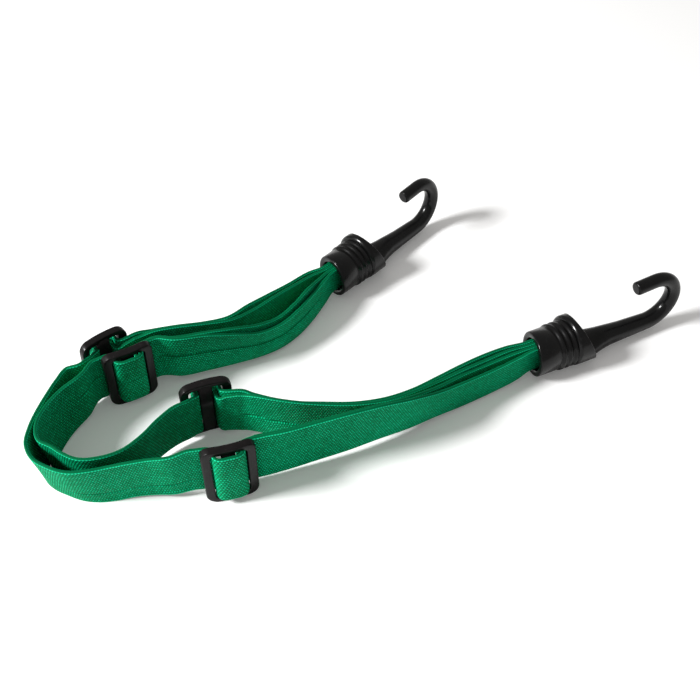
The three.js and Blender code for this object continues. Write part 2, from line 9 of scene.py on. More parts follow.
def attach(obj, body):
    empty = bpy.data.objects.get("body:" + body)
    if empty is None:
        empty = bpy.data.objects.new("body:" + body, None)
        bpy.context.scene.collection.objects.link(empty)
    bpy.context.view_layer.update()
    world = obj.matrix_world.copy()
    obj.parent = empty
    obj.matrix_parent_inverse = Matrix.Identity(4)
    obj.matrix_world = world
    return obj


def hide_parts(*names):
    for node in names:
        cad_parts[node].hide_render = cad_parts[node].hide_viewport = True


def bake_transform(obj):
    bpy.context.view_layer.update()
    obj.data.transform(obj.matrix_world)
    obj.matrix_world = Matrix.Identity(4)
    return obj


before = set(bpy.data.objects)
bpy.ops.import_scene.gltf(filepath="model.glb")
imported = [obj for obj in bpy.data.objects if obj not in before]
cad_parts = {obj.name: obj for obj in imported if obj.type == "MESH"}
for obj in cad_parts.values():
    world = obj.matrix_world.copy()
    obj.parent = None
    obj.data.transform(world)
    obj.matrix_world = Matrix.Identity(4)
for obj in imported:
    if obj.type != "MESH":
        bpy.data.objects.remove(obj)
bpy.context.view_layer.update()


# Camera: a longish lens close to the strap, half way between level and overhead, square on to
# its front. The picture is 700 pixels square, and 913 of them span an object's own distance.
picture_side = 700
lens_pixels = 913
view_distance = 0.319
view_height = radians(45)
picture_middle = Vector((-0.010132, -0.003134, 0))

camera_data = bpy.data.cameras.new("camera")
camera_data.lens = camera_data.sensor_width * lens_pixels / picture_side
camera_data.clip_start = 0.01
camera = bpy.data.objects.new("camera", camera_data)
camera.location = picture_middle + view_distance * Vector((0, -cos(view_height), sin(view_height)))
camera.rotation_euler = (pi / 2 - view_height, 0, 0)
bpy.context.scene.collection.objects.link(camera)
bpy.context.scene.camera = camera


# Webbing: green elastic, 20 mm wide and 1.1 mm thick, woven with fine ribs along it and a
# firmer edge. Both bands stand on edge: a loop on the left, and a doubled length to each hook.
webbing_width = 0.02
webbing_thickness = 0.0011
webbing_pitch = 0.0014
laid_length = 0.2

# Places and routes as the strap is laid, in shares of its laid length. Turns and leans are in
# degrees, and so are the splays, how far the webbing turns away behind a slider. A row of a
# route holds x, y, the heights of its lower and upper edge and its lean, the last three in
# shares of the webbing's width.
slider_places = {
    "outer_near": dict(at=(-0.177, -0.303), turn=17, lean=3, front="right", splays=dict(hook=0, loop=10)),
    "inner_near": dict(at=(-0.219, -0.194), turn=20.5, lean=7, front="left", splays=dict(hook=18, loop=12)),
    "inner_far": dict(at=(-0.357, -0.108), turn=29.5, lean=7, front="right", splays=dict(hook=0, loop=0)),
    "outer_far": dict(at=(-0.392, -0.093), turn=42, lean=7, front="left", splays=dict(hook=8, loop=10)),
}
hook_places = {
    "near": dict(at=(0.3045, -0.0515), turn=25.5),
    "far": dict(at=(-0.0335, 0.1495), turn=47.4),
}
route_shares = {
    "outer_loop": [
        (-0.259, -0.3185, 0.1, 1.09, 0.09),
        (-0.29, -0.318, 0.06, 1.05, 0.12),
        (-0.322, -0.321, 0.03, 1.02, 0.15),
        (-0.347, -0.325, 0, 0.985, 0.14),
        (-0.373, -0.3295, 0, 0.98, 0.17),
        (-0.4, -0.329, 0, 0.97, 0.215),
        (-0.4275, -0.319, 0, 0.97, 0.225),
        (-0.45, -0.306, 0, 0.975, 0.2),
        (-0.465, -0.287, 0, 0.99, 0.12),
        (-0.4695, -0.26, 0, 0.995, 0.06),
        (-0.4665, -0.228, 0, 0.995, 0.05),
        (-0.4605, -0.1965, 0.01, 1.01, 0.02),
        (-0.4535, -0.1665, 0.04, 1.035, -0.03),
        (-0.444, -0.142, 0.08, 1.07, -0.09),
    ],
    "inner_loop": [
        (-0.2885, -0.2445, 0.07, 1.06, 0.14),
        (-0.311, -0.2745, 0.03, 1.02, 0.15),
        (-0.335, -0.2955, 0, 0.985, 0.155),
        (-0.361, -0.3065, 0, 0.985, 0.16),
        (-0.388, -0.309, 0, 0.985, 0.16),
        (-0.4095, -0.3, 0, 0.985, 0.155),
        (-0.429, -0.2875, 0, 0.985, 0.14),
        (-0.45, -0.277, 0, 0.99, 0.12),
        (-0.46, -0.254, 0, 0.995, 0.08),
        (-0.456, -0.219, 0, 0.995, 0.06),
        (-0.442, -0.1885, 0.03, 1.03, 0.01),
        (-0.418, -0.158, 0.09, 1.085, -0.07),
    ],
    "outer_near_running": [
        (-0.095, -0.2755, 0.15, 1.145, -0.08),
        (-0.046, -0.2595, 0.185, 1.175, -0.1),
        (0, -0.243, 0.2, 1.185, -0.12),
        (0.0475, -0.2215, 0.2, 1.13, -0.14),
        (0.0925, -0.199, 0.18, 1.01, -0.13),
        (0.1385, -0.1665, 0.11, 0.8, -0.1),
        (0.184, -0.1365, 0.055, 0.695, -0.06),
        (0.2365, -0.1045, 0.055, 0.64, -0.03),
        (0.28, -0.078, 0.1, 0.63, 0),
    ],
    "outer_near_return": [
        (-0.0975, -0.269, 0.1, 1.095, -0.08),
        (-0.0485, -0.253, 0.13, 1.12, -0.1),
        (-0.003, -0.2365, 0.145, 1.13, -0.12),
        (0.0445, -0.215, 0.145, 1.075, -0.14),
        (0.0885, -0.192, 0.15, 0.98, -0.13),
        (0.133, -0.158, 0.11, 0.81, -0.1),
        (0.177, -0.1255, 0.06, 0.72, -0.05),
        (0.2235, -0.096, 0.055, 0.66, -0.03),
        (0.267, -0.0735, 0.1, 0.65, 0),
    ],
    "inner_near_return": [
        (-0.143, -0.1985, 0.095, 1.09, -0.13),
        (-0.117, -0.205, 0.09, 1.1, -0.13),
        (-0.085, -0.2085, 0.08, 1.07, -0.13),
        (-0.04, -0.2075, 0.06, 0.99, -0.1),
        (0.01, -0.2025, 0.05, 0.93, -0.1),
        (0.055, -0.19, 0.05, 0.88, -0.1),
        (0.098, -0.168, 0.05, 0.83, -0.09),
        (0.141, -0.141, 0.05, 0.78, -0.07),
        (0.182, -0.1145, 0.05, 0.75, -0.05),
        (0.221, -0.09, 0.06, 0.7, -0.025),
        (0.26, -0.068, 0.1, 0.675, 0),
    ],
    "inner_near_running": [
        (-0.144, -0.19, 0.08, 1.04, -0.14),
        (-0.116, -0.1965, 0.06, 1.01, -0.14),
        (-0.0845, -0.201, 0.04, 0.98, -0.13),
        (-0.0405, -0.2005, 0.03, 0.935, -0.1),
        (0.0085, -0.1955, 0.03, 0.885, -0.1),
        (0.052, -0.1835, 0.03, 0.845, -0.1),
        (0.0945, -0.162, 0.03, 0.8, -0.09),
        (0.137, -0.1345, 0.04, 0.78, -0.07),
        (0.1775, -0.108, 0.05, 0.77, -0.05),
        (0.2165, -0.083, 0.06, 0.73, -0.02),
        (0.2575, -0.06, 0.1, 0.68, 0),
    ],
    "inner_far_running": [
        (-0.28, -0.0785, 0.125, 1.115, -0.13),
        (-0.2375, -0.0645, 0.12, 1.05, -0.12),
        (-0.1925, -0.047, 0.11, 0.9, -0.11),
        (-0.15, -0.0245, 0.08, 0.71, -0.08),
        (-0.1175, 0.0005, 0.05, 0.66, -0.06),
        (-0.09, 0.032, 0.05, 0.68, -0.04),
        (-0.0665, 0.069, 0.08, 0.69, -0.02),
        (-0.048, 0.1045, 0.13, 0.67, 0),
    ],
    "inner_far_return": [
        (-0.283, -0.0715, 0.1, 1.085, -0.13),
        (-0.2405, -0.0575, 0.1, 1.045, -0.12),
        (-0.196, -0.0395, 0.1, 0.96, -0.11),
        (-0.1555, -0.0165, 0.08, 0.81, -0.08),
        (-0.1245, 0.009, 0.06, 0.72, -0.06),
        (-0.0975, 0.039, 0.06, 0.75, -0.04),
        (-0.0745, 0.0745, 0.09, 0.78, -0.02),
        (-0.0555, 0.1095, 0.13, 0.7, 0),
    ],
    "outer_far_return": [
        (-0.322, -0.0575, 0.09, 1.08, -0.13),
        (-0.282, -0.0445, 0.08, 1.06, -0.12),
        (-0.24, -0.0295, 0.07, 0.98, -0.1),
        (-0.2, -0.0135, 0.06, 0.9, -0.07),
        (-0.167, 0.0145, 0.05, 0.84, -0.04),
        (-0.135, 0.0455, 0.05, 0.83, -0.02),
        (-0.101, 0.083, 0.08, 0.77, 0),
        (-0.0675, 0.122, 0.12, 0.69, 0),
    ],
    "outer_far_running": [
        (-0.325, -0.0505, 0.06, 1.04, -0.13),
        (-0.2845, -0.0375, 0.04, 1.01, -0.12),
        (-0.2445, -0.0225, 0.03, 0.93, -0.1),
        (-0.2065, -0.0065, 0.03, 0.89, -0.07),
        (-0.175, 0.0225, 0.04, 0.88, -0.04),
        (-0.143, 0.055, 0.05, 0.82, -0.02),
        (-0.108, 0.0935, 0.08, 0.73, 0),
        (-0.0745, 0.1325, 0.12, 0.66, 0),
    ],
}

# The slider's own frame has x along the webbing, y out of its front and z across the webbing.
slider_thickness = 0.0026
slider_bow = 0.0009
end_rail = 0.0027
side_rail = 0.0019
bar_width = 0.0042
bar_thickness = 0.0016
slot_width = 0.0032
slider_height = 0.0245
slider_length = bar_width + 2 * (slot_width + end_rail)
small_gap = 0.0003
layer_clearance = small_gap + webbing_thickness / 2
slot_outer_side = slider_length / 2 - end_rail
clear_of_rail = 0.0009
fold_end = slider_length / 2 + clear_of_rail
lead_length = 0.0012
second_layer_tuck = 0.0002
hemmed_width = 0.0192
layers_behind = {
    "running": dict(level=-layer_clearance, width=webbing_width),
    "return": dict(level=-layer_clearance - webbing_pitch + second_layer_tuck, width=hemmed_width),
}

# The webbings are gathered to 9.4 mm at a hook's mouth, whose middle is 8.2 mm above the floor.
barrel_axis_height = 0.0082
gathered_width = 0.0094


def on_floor(place, x, left):
    turned = Matrix.Rotation(radians(place["turn"]), 3, "Z") @ Vector((x, left, 0))
    return picture_middle + laid_length * Vector((*place["at"], 0)) + turned


def slider_middle_height(place):
    tilt = radians(place["lean"])
    under_front = (slider_bow + slider_thickness) * sin(tilt) if place["front"] == "right" else 0
    return slider_height / 2 * cos(tilt) + under_front


def slider_matrix(place):
    tilt = radians(place["lean"]) + (pi if place["front"] == "right" else 0)
    stand = on_floor(place, 0, 0) + Vector((0, 0, slider_middle_height(place)))
    turn = Matrix.Rotation(radians(place["turn"]), 4, "Z")
    return Matrix.Translation(stand) @ turn @ Matrix.Rotation(tilt, 4, "X")


def behind_at(x, layer, splay):
    """How far out of its back a slider has that layer at x, beyond the slot"""
    return layers_behind[layer]["level"] - tan(radians(splay)) * max(x - slot_outer_side, 0)


def rows_at_slider(webbing, side, layer):
    place = slider_places[webbing]
    tilt = radians(place["lean"])
    width = layers_behind[layer]["width"]
    way = 1 if side == "hook" else -1
    rows = []
    for x in (fold_end, fold_end + lead_length):
        out = behind_at(x, layer, place["splays"][side])
        left = -out if place["front"] == "right" else out
        point = on_floor(place, way * x, left * cos(tilt))
        low = slider_middle_height(place) + left * sin(tilt) - webbing_width / 2 * cos(tilt)
        rows.append((point.x, point.y, low, low + width * cos(tilt), -way * width * sin(tilt)))
    return rows


def slider_across(webbing, width):
    """The vector from the lower to the upper edge of webbing in that slider"""
    place = slider_places[webbing]
    upright = -1 if place["front"] == "right" else 1
    return slider_matrix(place).to_3x3() @ Vector((0, 0, upright * width))


def rows_at_mouth(end, from_axis):
    half = gathered_width / 2
    rows = []
    for x in (-lead_length, 0):
        point = on_floor(hook_places[end], x, from_axis * webbing_pitch)
        rows.append((point.x, point.y, barrel_axis_height - half, barrel_axis_height + half, 0))
    return rows


def rows_of_route(name):
    rows = []
    for x, y, *edges in route_shares[name]:
        point = picture_middle + laid_length * Vector((x, y, 0))
        rows.append((point.x, point.y, *[edge * webbing_width for edge in edges]))
    return rows


def backwards(rows):
    return [(x, y, low, high, -lean) for x, y, low, high, lean in reversed(rows)]


def rows_round(rows, share):
    """The two rows on either side of that share of the way, and how far it is between the middle two"""
    place = share * (len(rows) - 1)
    row = min(floor(place), len(rows) - 2)
    return [rows[min(max(row + i, 0), len(rows) - 1)] for i in (-1, 0, 1, 2)], place - row


def eased(b, c, out, into, t):
    """The value between b and c that leaves at the slope out and arrives at the slope into"""
    return b + t * (out + t * (3 * (c - b) - 2 * out - into + t * (2 * (b - c) + out + into)))


def smooth_row(rows, share):
    """The row at that share of the way, on a smooth curve through the rows"""
    around, t = rows_round(rows, share)
    return [eased(b, c, (c - a) / 2, (d - b) / 2, t) for a, b, c, d in zip(*around)]


def route_row(rows, share):
    """The same for free webbing, whose rows stand unevenly far apart"""
    around, t = rows_round(rows, share)
    before, start, end, after = around
    step = hypot(end[0] - start[0], end[1] - start[1])
    step_before = hypot(start[0] - before[0], start[1] - before[1]) or step
    step_after = hypot(after[0] - end[0], after[1] - end[1]) or step
    values = []
    for a, b, c, d in zip(before, start, end, after):
        out = ((c - b) * step_before + (b - a) * step * step / step_before) / (step_before + step)
        into = ((c - b) * step_after + (d - c) * step * step / step_after) / (step_after + step)
        values.append(eased(b, c, out, into, t))
    return values


# One place along the webbing: its middle, the vector from its lower to its upper edge, and
# how far along the webbing it is
Station = namedtuple("Station", "middle across along")


def add_station(stations, middle, across):
    along = stations[-1].along + (middle - stations[-1].middle).length if stations else 0
    stations.append(Station(middle, across, along))


def free_stations(rows, spacing=0.001, nearby=0.001):
    """Stations of a free length. Its lean is square to the heading, found between the rows that
    lie that share of the way behind and ahead."""
    count = round(sum((Vector(b[:2]) - Vector(a[:2])).length for a, b in zip(rows, rows[1:])) / spacing)
    stations = []
    for i in range(count + 1):
        x, y, low, high, lean = route_row(rows, i / count)
        ahead = route_row(rows, min(i / count + nearby, 1))
        behind = route_row(rows, max(i / count - nearby, 0))
        heading = Vector((ahead[0] - behind[0], ahead[1] - behind[1], 0)).normalized()
        across = lean * Vector((-heading.y, heading.x, 0)) + Vector((0, 0, high - low))
        add_station(stations, Vector((x, y, (low + high) / 2)), across)
    return stations


def lined_up(stations, across, end, reach=0.006):
    """The stations, those near that end turned to meet the webbing in a slider"""
    turned = []
    for middle, edge_to_edge, along in stations:
        share = min(abs(along - stations[end].along) / reach, 1)
        turned.append(Station(middle, across.lerp(edge_to_edge, share * share * (3 - 2 * share)), along))
    return turned


def webbing_section():
    """Points round the webbing's cross-section: how far across it, and how far out of its middle"""
    radius = webbing_thickness / 2
    flat = webbing_width / 2 - radius
    rim_steps = 6
    flat_steps = 48
    points = []
    for side in (1, -1):
        for i in range(rim_steps):
            angle = pi * i / rim_steps - pi / 2
            points.append((side * (flat + radius * cos(angle)), side * radius * sin(angle)))
        for i in range(flat_steps):
            points.append((side * flat * (1 - 2 * i / flat_steps), side * radius))
    return points


def woven_band(name, stations, shaped=None):
    """A closed length of webbing through the stations. shaped moves a point out of the band's
    plane: it is given the distance along in metres and the share across, from -1 to 1."""
    section = webbing_section()
    shape = bmesh.new()
    weave = shape.verts.layers.float_vector.new("weave")
    bmesh.ops.create_grid(shape, x_segments=len(stations) - 1, y_segments=len(section), size=0.5)
    for vertex in shape.verts:
        step = round((vertex.co.x + 0.5) * (len(stations) - 1))
        across, depth = section[round((vertex.co.y + 0.5) * len(section)) % len(section)]
        middle, edge_to_edge, along = stations[step]
        ahead = stations[min(step + 1, len(stations) - 1)].middle
        behind = stations[max(step - 1, 0)].middle
        normal = (ahead - behind).cross(edge_to_edge).normalized()
        share = across / (webbing_width / 2)
        lift = shaped(along, share) if shaped else 0
        vertex.co = middle + edge_to_edge * share / 2 + normal * (depth + lift)
        vertex[weave] = (along, across, depth)
    bmesh.ops.remove_doubles(shape, verts=shape.verts, dist=1e-7)
    ends = [edge for edge in shape.edges if edge.is_boundary]
    for edge in ends:
        edge.smooth = False
    bmesh.ops.holes_fill(shape, edges=ends)
    bmesh.ops.recalc_face_normals(shape, faces=shape.faces)
    for face in shape.faces:
        face.smooth = len(face.verts) == 4
    return finished(name, shape)


def crease(middle, drift, start, end, depth, bulge):
    """A lengthwise crease. It lies at that share across, drifts by so many shares a metre, and
    runs from start to end along the webbing. The webbing below it stands out by bulge."""
    fade_in = 0.004
    fade_out = 0.02
    groove = 0.03

    def shaped(along, share):
        begun = min(max((along - start) / fade_in, 0), 1)
        left = min(max((end - along) / fade_out, 0), 1)
        above = share - middle - drift * along
        swell = sin(pi * min(-above / (1 + middle), 1)) if above < 0 else 0
        return begun * left * (bulge * swell - depth * exp(-(above / groove) ** 2))
    return shaped


# Creases that the webbing has kept from its slider, by the length or the fold that shows them
creases = {
    "inner_far_running": crease(middle=0.15, drift=0, start=0, end=0.075, depth=0.0011, bulge=0.0007),
    "inner_far_over_bar": crease(middle=0.05, drift=0, start=0.004, end=0.03, depth=0.00035, bulge=0),
    "inner_near_return": crease(middle=-0.05, drift=-9, start=0, end=0.05, depth=0.0006, bulge=0.0004),
    "outer_loop": crease(middle=-0.45, drift=0, start=0, end=0.045, depth=-0.0006, bulge=0.0005),
    "inner_loop": crease(middle=0.1, drift=0, start=0.07, end=0.2, depth=0.0007, bulge=0.0003),
}


def finished(name, shape, finish=None):
    mesh = bpy.data.meshes.new(name)
    shape.to_mesh(mesh)
    shape.free()
    piece = bpy.data.objects.new(name, mesh)
    bpy.context.scene.collection.objects.link(piece)
    mesh.materials.append(finish or webbing_finish)
    return piece


class Value:
    """A socket of a shader node. Python sums on it add Math nodes."""

    def __init__(self, finish, socket):
        self.finish = finish
        self.socket = socket

    def math(self, operation, *others, clamp=False):
        settings = dict(operation=operation, use_clamp=clamp)
        return self.finish.node("ShaderNodeMath", settings, *enumerate((self, *others)))

    def __add__(self, other):
        return self.math("ADD", other)

    __radd__ = __add__

    def __sub__(self, other):
        return self.math("SUBTRACT", other)

    def __rsub__(self, other):
        return (self * -1).math("ADD", other)

    def __mul__(self, other):
        return self.math("MULTIPLY", other)

    __rmul__ = __mul__

    def __truediv__(self, other):
        return self.math("DIVIDE", other)

    def __abs__(self):
        return self.math("ABSOLUTE")

    def above(self, edge, softness):
        """0 below the edge and 1 above it, over that much of a slope"""
        return ((self - edge) / softness + 0.5).math("ADD", 0, clamp=True)


class Finish:
    """A procedural material: its nodes are made one by one, each with its settings first"""

    def __init__(self, name, **surface):
        self.material = bpy.data.materials.new(name)
        self.material.use_nodes = True
        self.tree = self.material.node_tree
        self.surface = self.tree.nodes["Principled BSDF"]
        for socket, value in surface.items():
            self.surface.inputs[socket.replace("_", " ")].default_value = value

    def node(self, kind, settings, *sockets, output=0):
        made = self.tree.nodes.new(kind)
        for setting, value in settings.items():
            if setting == "stops":
                self.set_stops(made.color_ramp, value)
            else:
                setattr(made, setting, value)
        for socket, value in sockets:
            self.feed(made.inputs[socket], value)
        return Value(self, made.outputs[output])

    def set_stops(self, ramp, stops):
        while len(ramp.elements) < len(stops):
            ramp.elements.new(1)
        for element, (position, colour) in zip(ramp.elements, stops):
            element.position = position
            element.color = (*colour, 1)

    def feed(self, socket, value):
        if isinstance(value, Value):
            self.tree.links.new(value.socket, socket)
        else:
            socket.default_value = value

    def shade(self, **sockets):
        for socket, value in sockets.items():
            self.feed(self.surface.inputs[socket.replace("_", " ")], value)

    def mix(self, share, first, second):
        settings = dict(data_type="RGBA")
        return self.node("ShaderNodeMix", settings, (0, share), (6, first), (7, second), output=2)


def woven_finish():
    """Fine ribs along the webbing, each a row of crowned stitches, and at either edge two firm
    cords. The colour carries painted light: the stitch crowns and the cords are painted lighter
    as highlights, and the gaps between stitches darker as painted shade. The attribute gives
    metres along, across and out of the band."""
    rib_width = 0.0009
    stitch_length = 0.00085
    firm_edge = 0.0005
    finish = Finish("green_elastic", Specular_IOR_Level=0.04)
    weave = finish.node("ShaderNodeAttribute", dict(attribute_name="weave"), output="Vector")
    split = [finish.node("ShaderNodeSeparateXYZ", {}, (0, weave), output=i) for i in range(3)]
    along, across, depth = split
    object_place = finish.node("ShaderNodeTexCoord", {}, output="Object")
    wander = finish.node(
        "ShaderNodeTexNoise", {}, ("Vector", object_place), ("Scale", 160.0), ("Detail", 1.0)
    )
    rib = across / rib_width + (wander - 0.5) * 0.3
    row = rib.math("FLOOR")
    stitch = along / stitch_length + row * 0.5 + (wander - 0.5) * 0.4
    rib_crown = (rib * pi).math("SINE").math("ABSOLUTE")
    stitch_crown = (stitch * pi).math("SINE").math("ABSOLUTE")
    cell = finish.node("ShaderNodeCombineXYZ", {}, (0, stitch.math("FLOOR")), (1, row))
    chance = finish.node("ShaderNodeTexWhiteNoise", dict(noise_dimensions="2D"), ("Vector", cell))
    crown = (rib_crown * stitch_crown).math("POWER", 0.8)
    # Painted highlights: glints on the stitch crowns, brighter or dimmer at random from stitch to stitch.
    lit = (chance * 0.6 + 0.3) * crown
    cloudy = finish.node(
        "ShaderNodeTexNoise", {}, ("Vector", object_place), ("Scale", 70.0), ("Detail", 2.0)
    )
    edge = abs(across).above(webbing_width / 2 - firm_edge, 0.00015)
    cord = (abs(depth) / (webbing_thickness / 2)).above(0.8, 0.3)
    twist = ((along / stitch_length) * pi).math("SINE").math("ABSOLUTE")
    height = crown * (1 - edge) + edge * (0.3 + 0.7 * cord * (0.6 + 0.4 * twist))
    # Painted highlight and shade: the stitch crowns lighter and the gaps between them darker, with the
    # glints and a cloudy tone that varies at random.
    crown_shaded_body_tone = 0.18 + crown * 0.34 + lit * 0.4 + (cloudy - 0.5) * 0.25
    # Painted highlights: the two cords at each edge lighter, in dots along their twist, with the rim
    # between them left dark.
    cord_highlighted_edge_tone = 0.2 + cord * (0.35 + 0.45 * twist)
    tone = crown_shaded_body_tone * (1 - edge) + cord_highlighted_edge_tone * edge
    # The ramp runs from the painted shade of the gaps, nearly black green, to the painted highlights, light
    # mint.
    colour = finish.node("ShaderNodeValToRGB", dict(stops=[
        (0.1, (0.0, 0.05, 0.018)),
        (0.38, (0.0, 0.2, 0.075)),
        (0.62, (0.0, 0.38, 0.16)),
        (0.8, (0.005, 0.55, 0.28)),
        (1.0, (0.06, 0.8, 0.48)),
    ]), (0, tone))
    bump = finish.node(
        "ShaderNodeBump", {}, ("Strength", 1.0), ("Distance", 0.0002), ("Height", height)
    )
    finish.shade(Base_Color=colour, Normal=bump, Roughness=0.75 - height * 0.2)
    return finish.material


webbing_finish = woven_finish()
mouth_layers = {
    "outer_near": ("near", {"running": -1.5, "return": -0.5}),
    "inner_near": ("near", {"running": 1.5, "return": 0.5}),
    "inner_far": ("far", {"running": -1.5, "return": -0.5}),
    "outer_far": ("far", {"running": 1.5, "return": 0.5}),
}

# Each loop is three lengths: an end by each slider, and the middle, which stays on the floor.
loop_cuts = (0.34, 0.68)
for webbing in ("outer", "inner"):
    rows = [
        *rows_at_slider(f"{webbing}_near", "loop", "running"),
        *rows_of_route(f"{webbing}_loop"),
        *backwards(rows_at_slider(f"{webbing}_far", "loop", "running")),
    ]
    stations = free_stations(rows)
    stations = lined_up(stations, slider_across(f"{webbing}_near", webbing_width), 0)
    stations = lined_up(stations, slider_across(f"{webbing}_far", webbing_width), -1)
    near_cut, far_cut = [round(len(stations) * share) for share in loop_cuts]
    lengths = dict(
        near=stations[:near_cut + 1],
        middle=stations[near_cut:far_cut + 1],
        far=stations[far_cut:],
    )
    for part, part_stations in lengths.items():
        band = woven_band(f"{webbing}_loop_{part}", part_stations, creases.get(f"{webbing}_loop"))
        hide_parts(f"webbing_{webbing}_loop")
        if part == "middle":
            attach(band, "webbings")
        elif part == "near":
            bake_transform(band)
        else:
            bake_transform(band)

# Each doubled length is four: its slider's half and its hook's half of both layers.
doubled_cut = 0.45
for webbing, (end, layers) in mouth_layers.items():
    for layer, from_axis in layers.items():
        route = f"{webbing}_{layer}"
        rows = [
            *rows_at_slider(webbing, "hook", layer),
            *rows_of_route(route),
            *rows_at_mouth(end, from_axis),
        ]
        stations = free_stations(rows)
        stations = lined_up(stations, slider_across(webbing, layers_behind[layer]["width"]), 0)
        cut = round(len(stations) * doubled_cut)
        for part, part_stations, body, moving in (
            ("slider_half", stations[:cut + 1], f"{webbing}_slider", stations[0].middle),
            ("hook_half", stations[cut:], f"{end}_hook", stations[-1].middle),
        ):
            band = woven_band(f"{route}_{part}", part_stations, creases.get(route))
            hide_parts(f"webbing_{route}")
            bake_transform(band)


# Folds at a slider: the running layer goes over the bar and through both slots, and comes out
# behind the end rails. It holds down the band's own hemmed end, which comes up through the slot
# on the hook's side and lies on the bar's front.
bar_front = slider_bow + bar_thickness
tail_over_bar = bar_front + layer_clearance
running_over_bar = tail_over_bar + webbing_pitch
slot_inner_side = bar_width / 2
running_in_slot = slot_outer_side - layer_clearance
tail_in_slot = slot_inner_side + layer_clearance
# Spread and drop of the webbing over a bar, by the side that its slider shows, and of a tail
over_bar_fans = dict(right=(0.03, 2), left=(-0.08, 1))
tail_fan = (-0.12, 1)


def fold_stations(webbing, corners, width, spread, drop, spacing=0.0005):
    """Stations of a fold, whose corners are given in the slider's frame. It spreads by that
    share half way, and drops by that share of what it has lost in width."""
    place = slider_places[webbing]
    matrix = slider_matrix(place)
    stations = []
    count = round(sum((Vector(b) - Vector(a)).length for a, b in zip(corners, corners[1:])) / spacing)
    for i in range(count + 1):
        across = slider_across(webbing, width * (1 + spread * sin(pi * i / count)))
        middle = matrix @ Vector((*smooth_row(corners, i / count), 0))
        middle += across.normalized() * drop * (across.length - webbing_width) / 2
        add_station(stations, middle, across)
    return stations


def round_bar_corner(distance):
    return slot_inner_side + distance * sqrt(0.5), bar_front + distance * sqrt(0.5)


def running_half(splay, in_slot):
    beyond = (slot_outer_side + webbing_thickness, fold_end)
    return [
        (slot_inner_side, running_over_bar),
        round_bar_corner(layer_clearance + webbing_pitch),
        (in_slot, bar_front),
        (in_slot, slider_bow),
        (in_slot, small_gap),
        (slot_outer_side - small_gap, -layer_clearance / 2),
    ] + [(x, behind_at(x, "running", splay)) for x in beyond]


def running_fold(place):
    """The fold from the loop's side to the hook's. It dives beside the bar where that is seen."""
    on_loop_side = running_in_slot if place["front"] == "right" else tail_in_slot
    to_loop = [(-x, y) for x, y in reversed(running_half(place["splays"]["loop"], on_loop_side))]
    return to_loop + [(0, running_over_bar)] + running_half(place["splays"]["hook"], running_in_slot)


def hemmed_tail(splays):
    corner_x, corner_y = round_bar_corner(layer_clearance)
    return [(x, behind_at(x, "return", splays["hook"])) for x in (fold_end, slot_outer_side)] + [
        (tail_in_slot + webbing_thickness, layers_behind["return"]["level"] + webbing_thickness / 4),
        (tail_in_slot + small_gap / 2, layers_behind["running"]["level"]),
        (tail_in_slot, slider_bow),
        (tail_in_slot, bar_front),
        (corner_x, corner_y),
        (slot_inner_side / 2, tail_over_bar),
        (-slot_inner_side / 2, tail_over_bar),
    ]


for webbing, place in slider_places.items():
    over_bar = fold_stations(webbing, running_fold(place), webbing_width, *over_bar_fans[place["front"]])
    tail = fold_stations(webbing, hemmed_tail(place["splays"]), hemmed_width, *tail_fan)
    for part, stations in (("over_bar", over_bar), ("hemmed_tail", tail)):
        band = woven_band(f"{webbing}_{part}", stations, creases.get(f"{webbing}_{part}"))
        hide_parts(f"webbing_{webbing}_{part}")
        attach(band, f"{webbing}_slider")


# Turns round the anchor pins, inside the hooks, where each band comes in, goes round its pin
# and out again, gathered to less than half its width.
pin_radius = 0.0008
pin_distance = 0.0105
pin_side = 0.00235
bore_length = 0.0055


def pin_fold_stations(end, side):
    radius = pin_radius + layer_clearance
    turn_steps = 6
    corners = [
        (0, webbing_pitch / 2),
        (bore_length, webbing_pitch / 2),
        (pin_distance - radius, pin_side - radius),
    ]
    for i in range(turn_steps + 1):
        angle = pi * i / turn_steps - pi / 2
        corners.append((pin_distance + radius * cos(angle), pin_side + radius * sin(angle)))
    corners += [
        (pin_distance - radius, pin_side + radius - small_gap / 2),
        (bore_length, webbing_pitch * 1.5 + small_gap),
        (0, webbing_pitch * 1.5),
    ]
    place = hook_places[end]
    stations = []
    count = 60
    for i in range(count + 1):
        x, y = smooth_row(corners, i / count)
        middle = on_floor(place, x, side * y) + Vector((0, 0, barrel_axis_height))
        add_station(stations, middle, Vector((0, 0, gathered_width)))
    return stations


for end, sides in (("near", dict(outer=-1, inner=1)), ("far", dict(inner=-1, outer=1))):
    for webbing, side in sides.items():
        band = woven_band(f"{webbing}_{end}_round_pin", pin_fold_stations(end, side))
        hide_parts(f"webbing_{webbing}_{end}_round_pin")
        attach(band, f"{end}_hook")


# Sliders: satin black moulded frames, bowed, with a thinner middle bar between two slots. Every
# edge is softly rounded by the mould.
corner_radius = 0.003
slot_corner_radius = 0.0012
edge_rounding = 0.0004


